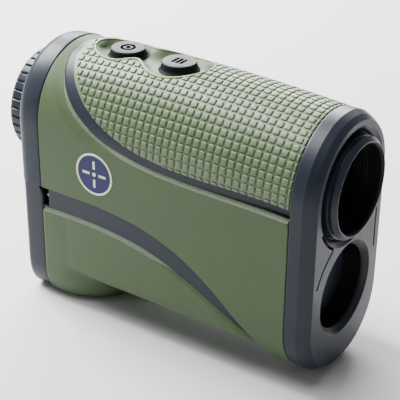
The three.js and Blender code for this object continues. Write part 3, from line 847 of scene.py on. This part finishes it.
def bezel():
    """The front shell: a band, a broad chamfer, a dished face and the receiver's opening."""
    profile = [
        (NOSE_X + SEAM, 0.3), (NOSE_X + 0.25, 0.05), (NOSE_X + 0.5, 0.0), (NOSE_X + 3.7, 0.1),
        (FACE_X - 1.5, 1.0), (FACE_X, 2.15),
    ]
    shape = Shape()
    shape.loft([full_ring("nose", x, depth, 220) for x, depth in profile])
    obj = mesh_of(shape, "bezel_shell", CREASE)
    x = FACE_X
    dish = lathe([(40, 0.01), (40, HOOD_RADIUS + 0.1), (x - 2.1, HOOD_RADIUS + 0.1),
                  (x - 1.9, 14.6), (x - 1, 15.15), (x, 16.4), (x + 2, 18.9), (x + 2, 0.01)])
    bore = lathe([(40, 0.01), (40, MOUTH), (x - 1.15, MOUTH), (x - 1.05, MOUTH + 0.08), (x, 13.55),
                  (x + 2, 15.3), (x + 2, 0.01)], RECEIVER_Z)
    bend = arc(16.7, AXIS_Z, 207, 239) + arc(17.65, RECEIVER_Z, 120, 156)
    long_groove = groove(bend, 0.75, 1.2)
    short_groove = groove(straight((15.3, 30.2), (15.3, 42.5), 6), 0.7, 1.2)
    return carved(obj, [dish, bore, long_groove, short_groove], CREASE)


def hood():
    x = LIP_X
    return mesh_of(lathe([
        (HOOD_BACK, LINING_RADIUS), (HOOD_BACK, HOOD_RADIUS), (x - 2.35, HOOD_RADIUS),
        (x - 2.2, HOOD_RADIUS - 0.1), (x - 2.12, 13.7), (x - 2.05, 13.5), (x - 1.35, 13.5),
        (x - 1.32, 13.88), (x - 1.2, 13.92), (x - 0.4, 13.25), (x - 0.2, 13.05),
        (x - 0.05, 12.92), (x, 12.75), (x - 0.05, 12.55), (x - 0.25, LINING_RADIUS),
    ]), "hood_ring", 28)


def sleeve(name, outer, inner, start, end, z):
    """A black lining with a bevelled mouth."""
    return mesh_of(lathe([(start, inner), (start, outer), (end, outer), (end, outer - 0.12),
                          (end - 0.5, inner)], z), name, 28)


def lens(name, radius, back, front, bulge, z):
    """A lens with two domed faces."""
    r = np.linspace(0.01, radius, 14)
    dome = bulge * (1 - (r / radius) ** 2)
    outline = [(back - d, q) for d, q in zip(dome, r)]
    outline += [(front + d, q) for d, q in zip(dome[::-1], r[::-1])]
    return mesh_of(lathe(outline, z, count=72), name)


def baffled_tube(name, outer, inner, start, end, z):
    """A blackened tube with fine steps inside that swallow stray light."""
    outline = [(start, outer), (start, inner)]
    pitch = 0.9
    for k in range(int((end - start) / pitch)):
        x = start + k * pitch
        outline += [(x + 0.1, inner - 0.02), (x + 0.45, inner - 0.16), (x + 0.8, inner - 0.02)]
    outline += [(end, inner), (end, outer)]
    return mesh_of(lathe(outline, z, count=72), name, 25)


def retainer(name, outer, inner, start, end, z):
    """A threaded ring in front of a lens, with a chamfered mouth."""
    return mesh_of(lathe([(start, inner), (start, outer), (end, outer), (end - 0.1, inner + 0.9),
                          (start + 0.45, inner + 0.05)], z, count=96), name, 25)


# ---- Rear ----

def ease(start_x, end_x, drop, count=9):
    """[x, depth] points of a rounded shoulder, from the side to the back."""
    turn = np.linspace(0, math.pi / 2, count)
    return [(start_x + (end_x - start_x) * math.sin(a), drop * (1 - math.cos(a))) for a in turn]


def cover():
    """The cap round the eyepiece."""
    profile = [(TAIL_X - SEAM, 0.35), (TAIL_X - 0.35, 0.06), (TAIL_X - 0.8, 0)]
    profile += ease(-42.6, COVER_X, 2.3)
    shape = Shape()
    shape.loft([full_ring("tail", x, d, 200) for x, d in profile][::-1])
    obj = mesh_of(shape, "cover_shell")
    below = box((-60, 0), (-30, 30), (-20, DOOR_Z + 0.25))
    bore = lathe([(-60, 0.01), (-60, 13.4), (0, 13.4), (0, 0.01)], EYEPIECE_Z)
    inside = Shape()
    inside.loft([full_ring("tail", x, 1.9, 120) for x in (-43.6, 0)])
    holes = [lathe([(-60, 0.01), (-60, 2.2), (-43.8, 2.2), (-43.8, 0.01)], 42, y, 32)
             for y in (-15, 15)]
    return carved(obj, [below, bore, inside, *holes])


def corner_cut(x, z, width, height):
    """A cutter that rounds off a front top corner which ends at x and z."""
    turn = np.linspace(0, math.pi / 2, 12)
    outline = [(x - width + width * math.sin(a), z - height + height * math.cos(a)) for a in turn]
    outline += [(x + 20, z - height), (x + 20, z + 10), (x - width, z + 10)]
    shape = Shape()
    shape.loft([np.array([(px, y, pz) for px, pz in outline]) for y in (-30, 30)])
    return shape


def door():
    """The battery door, rounded beside the lanyard slot, with a finger scoop in its back."""
    step = 0.45
    profile = [(TAIL_X - SEAM - 0.1, step + 0.3), (TAIL_X - 0.45, step + 0.06), (TAIL_X - 0.9, step)]
    profile += [(x, step + drop) for x, drop in ease(-43.6, DOOR_X, 1.3)]
    shape = Shape()
    shape.loft([full_ring("tail", x, d, 200) for x, d in profile][::-1])
    obj = mesh_of(shape, "door_shell")
    above = box((-60, 0), (-30, 30), (DOOR_Z - 0.05, 90))
    inside = Shape()
    inside.loft([full_ring("tail", x, 1.6, 120) for x in (-43.8, 0)])
    scoop = rod_y(9, -6, 6, DOOR_X - 8.4, DOOR_Z - 3)
    lug_room = box((-42, 0), (-3.3, 3.3), (-5, 6))
    swing = box((TAIL_X - 0.3, 0), (-30, 30), (-5, HINGE_Z))
    corner = corner_cut(TAIL_X, DOOR_Z, 1.8, 5.5)
    return carved(obj, [above, inside, scoop, lug_room, swing, corner])


def door_knuckles():
    shape = Shape()
    for start, end in ((-8.5, -3.4), (3.4, 8.5)):
        rod = rod_y(1.4, start, end, HINGE_X, HINGE_Z, 32)
        shape.add(rod.points, rod.faces)
    return mesh_of(shape, "door_knuckles")


def dioptre():
    """The ring that focuses the eyepiece, ribbed all round."""
    ribs = 38
    r = DIOPTRE_RADIUS

    def ribbed(x, radius, angle):
        share = (angle * ribs / (2 * math.pi)) % 1
        valley = smooth(1 - np.abs(share - 0.5) / 0.17)
        ends = smooth((x - RING_X - 0.5) / 0.6) * smooth((COVER_X - 0.9 - x) / 0.5)
        return radius - 0.5 * valley * ends * (radius > r - 0.8)

    outline = [
        (COVER_X - 0.15, 12.6), (COVER_X - 0.15, r - 0.6), (COVER_X - 0.5, r - 0.5),
        (COVER_X - 0.8, r - 0.1), (COVER_X - 1.1, r), (COVER_X - 1.5, r), (RING_X + 1.6, r),
        (RING_X + 1.2, r - 0.02), (RING_X + 0.9, r - 0.1), (RING_X + 0.5, r - 0.35),
        (RING_X + 0.15, r - 0.9), (RING_X, r - 1.5), (RING_X, 11.2), (RING_X + 1.1, 11.2),
        (RING_X + 1.1, 12.6),
    ]
    return mesh_of(lathe(outline, EYEPIECE_Z, count=ribs * 12, radius_at=ribbed), "dioptre_ribbed", 40)


def eyecup():
    x = EYECUP_X
    return mesh_of(lathe([
        (RING_X - 0.1, 10.95), (RING_X - 0.1, 14.0), (x + 0.9, 13.95), (x + 0.4, 13.7),
        (x + 0.1, 13.2), (x, 12.5), (x + 0.15, 11.8), (x + 0.5, 11.3),
    ], EYEPIECE_Z), "eyecup_rubber", 60)


def screw_heads():
    """Pan heads with a cross recess, on the cover and on the bulkhead behind the door."""
    for number in range(1, 5):
        node = f"cover_screw_{number}"
        y, z, x = middle(node, "y"), middle(node, "z"), low(node, "x")
        shape = lathe([(x, 0.01), (x, 1.2), (x + 0.12, 1.6), (x + 0.4, 1.9), (x + 1.2, 1.9),
                       (x + 1.2, 1.1), (high(node, "x"), 0.9), (high(node, "x"), 0.01)], z, y, 40)
        obj = mesh_of(shape, f"screw_{number}")
        slots = [box((x - 1, x + 0.6), (y - a, y + a), (z - b, z + b))
                 for a, b in ((0.95, 0.2), (0.2, 0.95))]
        finished(carved(obj, slots), STEEL, "steel", node)


# ---- Materials ----

MATERIALS = {}


def shader(name, **inputs):
    """A material with a Principled shader and its nodes and links."""
    material = MATERIALS[name] = bpy.data.materials.new(name)
    material.use_nodes = True
    nodes, links = material.node_tree.nodes, material.node_tree.links
    surface = nodes["Principled BSDF"]
    for socket, value in inputs.items():
        surface.inputs[socket.replace("_", " ")].default_value = value
    return material, nodes, links, surface


def noise(nodes, links, scale, detail=4.0, stretch=(1, 1, 1)):
    """Noise over the object's own coordinates, in metres, so that it sticks to the piece."""
    place = nodes.new("ShaderNodeTexCoord")
    turn = nodes.new("ShaderNodeMapping")
    turn.inputs["Scale"].default_value = stretch
    texture = nodes.new("ShaderNodeTexNoise")
    texture.inputs["Scale"].default_value = scale
    texture.inputs["Detail"].default_value = detail
    links.new(place.outputs["Object"], turn.inputs["Vector"])
    links.new(turn.outputs["Vector"], texture.inputs["Vector"])
    return texture.outputs["Fac"]


def tinted(nodes, links, surface, factor, dark, light):
    ramp = nodes.new("ShaderNodeValToRGB")
    for element, place, colour in zip(ramp.color_ramp.elements, (0.32, 0.68), (dark, light)):
        element.position = place
        element.color = (*colour, 1)
    links.new(factor, ramp.inputs["Fac"])
    links.new(ramp.outputs["Color"], surface.inputs["Base Color"])


def ranged(nodes, links, surface, factor, socket, lowest, highest):
    spread = nodes.new("ShaderNodeMapRange")
    for end, value in (("From Min", 0.3), ("From Max", 0.7), ("To Min", lowest), ("To Max", highest)):
        spread.inputs[end].default_value = value
    links.new(factor, spread.inputs["Value"])
    links.new(spread.outputs["Result"], surface.inputs[socket])


def bumped(nodes, links, surface, height, distance_mm, strength):
    bump = nodes.new("ShaderNodeBump")
    bump.inputs["Distance"].default_value = distance_mm * MM
    bump.inputs["Strength"].default_value = strength
    links.new(height, bump.inputs["Height"])
    links.new(bump.outputs["Normal"], surface.inputs["Normal"])


def moulded(name, dark, light, roughness, grain, grain_depth, gloss=0.5):
    """Moulded rubber or plastic: a fine grain, faint clouds of colour and uneven gloss."""
    material, nodes, links, surface = shader(name, Specular_IOR_Level=gloss)
    clouds = noise(nodes, links, 90, 5)
    fine = noise(nodes, links, grain, 2)
    tinted(nodes, links, surface, clouds, dark, light)
    ranged(nodes, links, surface, clouds, "Roughness", roughness[0], roughness[1])
    bumped(nodes, links, surface, fine, grain_depth, 0.5)
    return material


def grain_with_painted_highlight(name, dark, light, grain):
    """Coarse sparkling grain, as left by a spark-eroded mould, in colours pale enough to be a painted
    highlight on the bevels that face up.
    """
    material, nodes, links, surface = shader(name, Roughness=0.45)
    speckle = noise(nodes, links, grain, 2)
    tinted(nodes, links, surface, speckle, dark, light)
    bumped(nodes, links, surface, speckle, 0.08, 0.6)
    return material


def metal(name, dark, light, roughness):
    """Turned metal with faint tool marks."""
    material, nodes, links, surface = shader(name, Metallic=1.0)
    marks = noise(nodes, links, 500, 3, (6, 1, 1))
    tinted(nodes, links, surface, marks, dark, light)
    ranged(nodes, links, surface, marks, "Roughness", roughness - 0.08, roughness + 0.1)
    bumped(nodes, links, surface, marks, 0.02, 0.3)
    return material


def glass(name, tint):
    """Coated optical glass with the faintest dust in its gloss."""
    material, nodes, links, surface = shader(
        name, Transmission_Weight=1.0, IOR=1.52, Coat_Weight=0.6, Coat_Roughness=0.02)
    dust = noise(nodes, links, 900, 3)
    tinted(nodes, links, surface, dust, tint, [min(1, c * 1.06) for c in tint])
    ranged(nodes, links, surface, dust, "Roughness", 0.0, 0.04)
    return material


def circuit():
    """Solder mask over faint square tracks."""
    material, nodes, links, surface = shader("circuit_board", Roughness=0.45)
    place = nodes.new("ShaderNodeTexCoord")
    brick = nodes.new("ShaderNodeTexBrick")
    for socket, value in (("Scale", 400), ("Color1", (0.01, 0.08, 0.035, 1)),
                          ("Color2", (0.012, 0.1, 0.045, 1)), ("Mortar", (0.03, 0.16, 0.07, 1))):
        brick.inputs[socket].default_value = value
    links.new(place.outputs["Object"], brick.inputs["Vector"])
    links.new(brick.outputs["Color"], surface.inputs["Base Color"])
    bumped(nodes, links, surface, brick.outputs["Fac"], 0.03, 0.4)
    return material


ARMOUR = moulded("green_rubber", (0.056, 0.086, 0.038), (0.065, 0.098, 0.045), (0.52, 0.62),
                 3400, 0.07, 0.25)
PADS = moulded("green_rubber_pads", (0.074, 0.112, 0.048), (0.086, 0.128, 0.058), (0.42, 0.52),
               3400, 0.04, 0.6)
# Bevel bands: real moulded grain, with a painted highlight in their pale green where the bevels face the
# light.
BEVEL_GRAIN_AND_HIGHLIGHT = grain_with_painted_highlight("green_rubber_bevel_painted_highlight", (0.075, 0.108, 0.060), (0.150, 0.185, 0.130), 2600)
WELL = moulded("green_surround", (0.042, 0.066, 0.029), (0.050, 0.077, 0.036), (0.40, 0.50),
               5200, 0.02, 0.2)
# The piping's pale yellow-green is a painted highlight along the rim of the recess.
PIPING_PAINTED_HIGHLIGHT = moulded("green_piping_painted_highlight", (0.20, 0.26, 0.08), (0.225, 0.285, 0.10), (0.3, 0.4), 5200, 0.01)
SLATE = moulded("slate_plastic", (0.012, 0.017, 0.026), (0.015, 0.021, 0.031), (0.34, 0.44),
                5200, 0.02, 0.22)
SLATE_FACE = moulded("slate_face", (0.011, 0.015, 0.023), (0.014, 0.018, 0.028), (0.34, 0.44),
                     5200, 0.02, 0.25)
# Key tops: a grey that is painted light, lighter than the keys' sides, which are painted in shaded
# black.
BUTTON_TOP_PAINTED_LIT = moulded("button_cap", (0.016, 0.019, 0.027), (0.021, 0.024, 0.033), (0.45, 0.55),
                 3200, 0.03, 0.18)
BOOT = moulded("black_rubber", (0.004, 0.005, 0.007), (0.006, 0.007, 0.010), (0.5, 0.6),
               4200, 0.03, 0.15)
BLACK = moulded("black_plastic", (0.003, 0.003, 0.004), (0.005, 0.005, 0.006), (0.40, 0.55),
                4200, 0.02, 0.2)
PRINT = moulded("black_print", (0.002, 0.002, 0.003), (0.003, 0.003, 0.004), (0.7, 0.9),
                4200, 0.01, 0.0)
ANODISED = moulded("black_anodised", (0.010, 0.010, 0.011), (0.014, 0.014, 0.015), (0.12, 0.2),
                   4200, 0.01, 0.9)
NAVY = moulded("navy_plastic", (0.010, 0.013, 0.070), (0.013, 0.017, 0.085), (0.35, 0.45),
               5200, 0.01, 0.2)
IVORY = moulded("ivory_plastic", (0.62, 0.66, 0.48), (0.68, 0.72, 0.54), (0.25, 0.35), 5200, 0.01)
moulded("cell_jacket", (0.03, 0.08, 0.24), (0.035, 0.09, 0.27), (0.25, 0.35), 900, 0.01)
STEEL = metal("steel", (0.30, 0.31, 0.33), (0.38, 0.39, 0.41), 0.35)
metal("brass", (0.45, 0.30, 0.10), (0.55, 0.38, 0.14), 0.3)
metal("aluminium", (0.30, 0.31, 0.33), (0.38, 0.39, 0.41), 0.4)
GLASS = glass("lens_glass", (0.80, 0.88, 0.86))
circuit()


# ---- Putting the pieces in place ----

finished(housing_core(), SLATE, "slate_plastic", "main_housing")
finished(grip_panel(), PADS, "green_rubber", "grip_armour")
finished(grip_pads(), PADS, "green_rubber", "grip_armour")
finished(side_panel(), ARMOUR, "green_rubber", "side_armour")
finished(lower_panel(), ARMOUR, "green_rubber", "lower_armour")
# The two bevel bands carry a painted highlight in their pale green.
finished(side_band(), BEVEL_GRAIN_AND_HIGHLIGHT, "green_rubber", "side_armour")
finished(lower_band(), BEVEL_GRAIN_AND_HIGHLIGHT, "green_rubber", "lower_armour")
finished(well_floor(), WELL, "green_surround", "button_surround")
# The piping's pale colour is a painted highlight.
finished(well_piping(), PIPING_PAINTED_HIGHLIGHT, "green_surround", "button_surround")
# Each key gets a top that is painted lit and a side painted in shaded black.
for key, body, mark in (("power_button", "power_key", ring_mark), ("mode_button", "mode_key", bar_mark)):
    finished(button_face(key), BUTTON_TOP_PAINTED_LIT, "button_cap", key, body=body)
    finished(button_mark(key, mark), PRINT, "button_cap", key, body=body)
    finished(button_wall(key), BOOT, "button_cap", key, body=body)
    finished(button_boot(key), BOOT, "black_rubber", key + "_boot")
finished(badge_rim(), IVORY, "ivory_plastic", "badge_rim")
finished(badge_mark(), IVORY, "ivory_plastic", "badge_disc")
finished(badge_face(), NAVY, "navy_plastic", "badge_disc")
finished(bezel(), SLATE_FACE, "slate_plastic", "front_bezel")
finished(hood(), SLATE_FACE, "slate_plastic", "objective_hood")
finished(sleeve("hood_lining", LINING_RADIUS, HOOD_BORE, HOOD_BACK, LIP_X - 0.25, AXIS_Z),
         BLACK, "black_plastic", "objective_hood")
finished(baffled_tube("hood_baffles", 12.09, 11.9, HOOD_BACK, 50, AXIS_Z), BLACK, "black_plastic")
finished(sleeve("receiver_lining", MOUTH, RECEIVER_BORE, HOOD_BACK, FACE_X - 1.1, RECEIVER_Z),
         BLACK, "black_plastic", "front_bezel")
finished(baffled_tube("receiver_baffles", 13.0, RECEIVER_BORE, 22, 46.3, RECEIVER_Z),
         BLACK, "black_plastic", "receiver_tube")
for name, node, *sizes in (
        ("objective_glass", "objective_lens", 12, 39.4, 40.6, 1.5, AXIS_Z),
        ("receiver_glass", "receiver_lens", 11.6, 39.4, 40.4, 1.3, RECEIVER_Z),
        ("eye_glass", "eye_lens", 10.3, -47.4, -46, 1.1, EYEPIECE_Z)):
    finished(lens(name, *sizes), GLASS, "lens_glass", node)
for name, node, *sizes in (
        ("objective_ring", "objective_retainer", 12.2, 11, 42.4, 43.8, AXIS_Z),
        ("receiver_ring", "receiver_retainer", 11.8, 10, 42.2, 43.8, RECEIVER_Z)):
    finished(retainer(name, *sizes), ANODISED, "black_plastic", node)
finished(cover(), SLATE, "slate_plastic", "rear_cover")
finished(door(), SLATE, "slate_plastic", "battery_door", body="door")
finished(door_knuckles(), SLATE, "slate_plastic", "battery_door", body="door")
finished(dioptre(), SLATE_FACE, "slate_plastic", "dioptre_ring", body="dioptre")
finished(eyecup(), BOOT, "black_rubber", "eyecup", body="dioptre")
screw_heads()

for part in frame["record"]["subparts"]:
    node = frame["nodes"][part["node"]]
    node.data.materials.clear()
    node.data.materials.append(MATERIALS[part["material_slot"]])


# ---- Floor, light and camera ----

def stage_floor():
    """A pale floor that curves up behind the object."""
    turn = np.linspace(0.1, 1.5, 12)
    steps = [(-1200, 0), (900, 0)]
    steps += [(900 + 600 * math.sin(a), 600 * (1 - math.cos(a))) for a in turn]
    steps += [(1500, 2000)]
    shape = Shape()
    shape.grid(np.array([[(x, y, z) for x in (-2500, 2500)] for y, z in steps]))
    floor = mesh_of(shape, "floor", 60)
    material, nodes, links, surface = shader("pale_floor", Roughness=0.8)
    tinted(nodes, links, surface, noise(nodes, links, 3, 3), (0.56, 0.56, 0.56), (0.58, 0.58, 0.58))
    floor.data.materials.append(material)


def soft_light(name, place, size, power):
    """A soft lamp that points at the middle of the object; its places are in metres."""
    data = bpy.data.lights.new(name, "AREA")
    data.shape = "RECTANGLE"
    data.size, data.size_y = size
    data.energy = power
    lamp = bpy.data.objects.new(name, data)
    bpy.context.scene.collection.objects.link(lamp)
    lamp.location = place
    lamp.rotation_euler = (Vector((0, 0, 0.04)) - Vector(place)).to_track_quat("-Z", "Y").to_euler()


def studio():
    soft_light("key", (-0.45, 0.05, 0.5), (0.3, 0.3), 16.0)
    soft_light("overhead", (-0.1, -0.1, 0.62), (0.4, 0.3), 4.5)
    soft_light("behind", (-0.35, 0.6, 0.42), (0.6, 0.4), 17.0)
    soft_light("left", (-0.7, -0.5, 0.3), (0.4, 0.4), 0.9)
    soft_light("front", (0.75, -0.35, 0.3), (0.4, 0.4), 0.1)
    world = bpy.data.worlds.new("studio")
    bpy.context.scene.world = world
    world.use_nodes = True
    sky = world.node_tree.nodes["Background"].inputs
    sky["Color"].default_value = (0.95, 0.97, 1.0, 1)
    sky["Strength"].default_value = 0.25


def camera():
    """Looks down on the front left corner, aimed from the middle of the face."""
    azimuth, elevation, roll = (math.radians(a) for a in (34.209, 28.328, 0.58))
    reach, across, up = 311.376, -38.43, -3.54
    aim = Vector((50.2, 0, AXIS_Z))
    back = Vector((math.sin(azimuth) * math.cos(elevation), -math.cos(azimuth) * math.cos(elevation),
                   math.sin(elevation)))
    right = Vector((math.cos(azimuth), math.sin(azimuth), 0))
    above = back.cross(right)
    turned_right = right * math.cos(roll) + above * math.sin(roll)
    turned_above = above * math.cos(roll) - right * math.sin(roll)
    place = aim + back * reach + turned_right * across + turned_above * up
    data = bpy.data.cameras.new("camera")
    data.sensor_width = 36
    data.lens = 109.26
    data.clip_start = 0.01
    eye = bpy.data.objects.new("camera", data)
    bpy.context.scene.collection.objects.link(eye)
    eye.matrix_world = Matrix.Translation(place * MM) @ Matrix(
        (turned_right, turned_above, back)).transposed().to_4x4()
    bpy.context.scene.camera = eye


stage_floor()
studio()
camera()
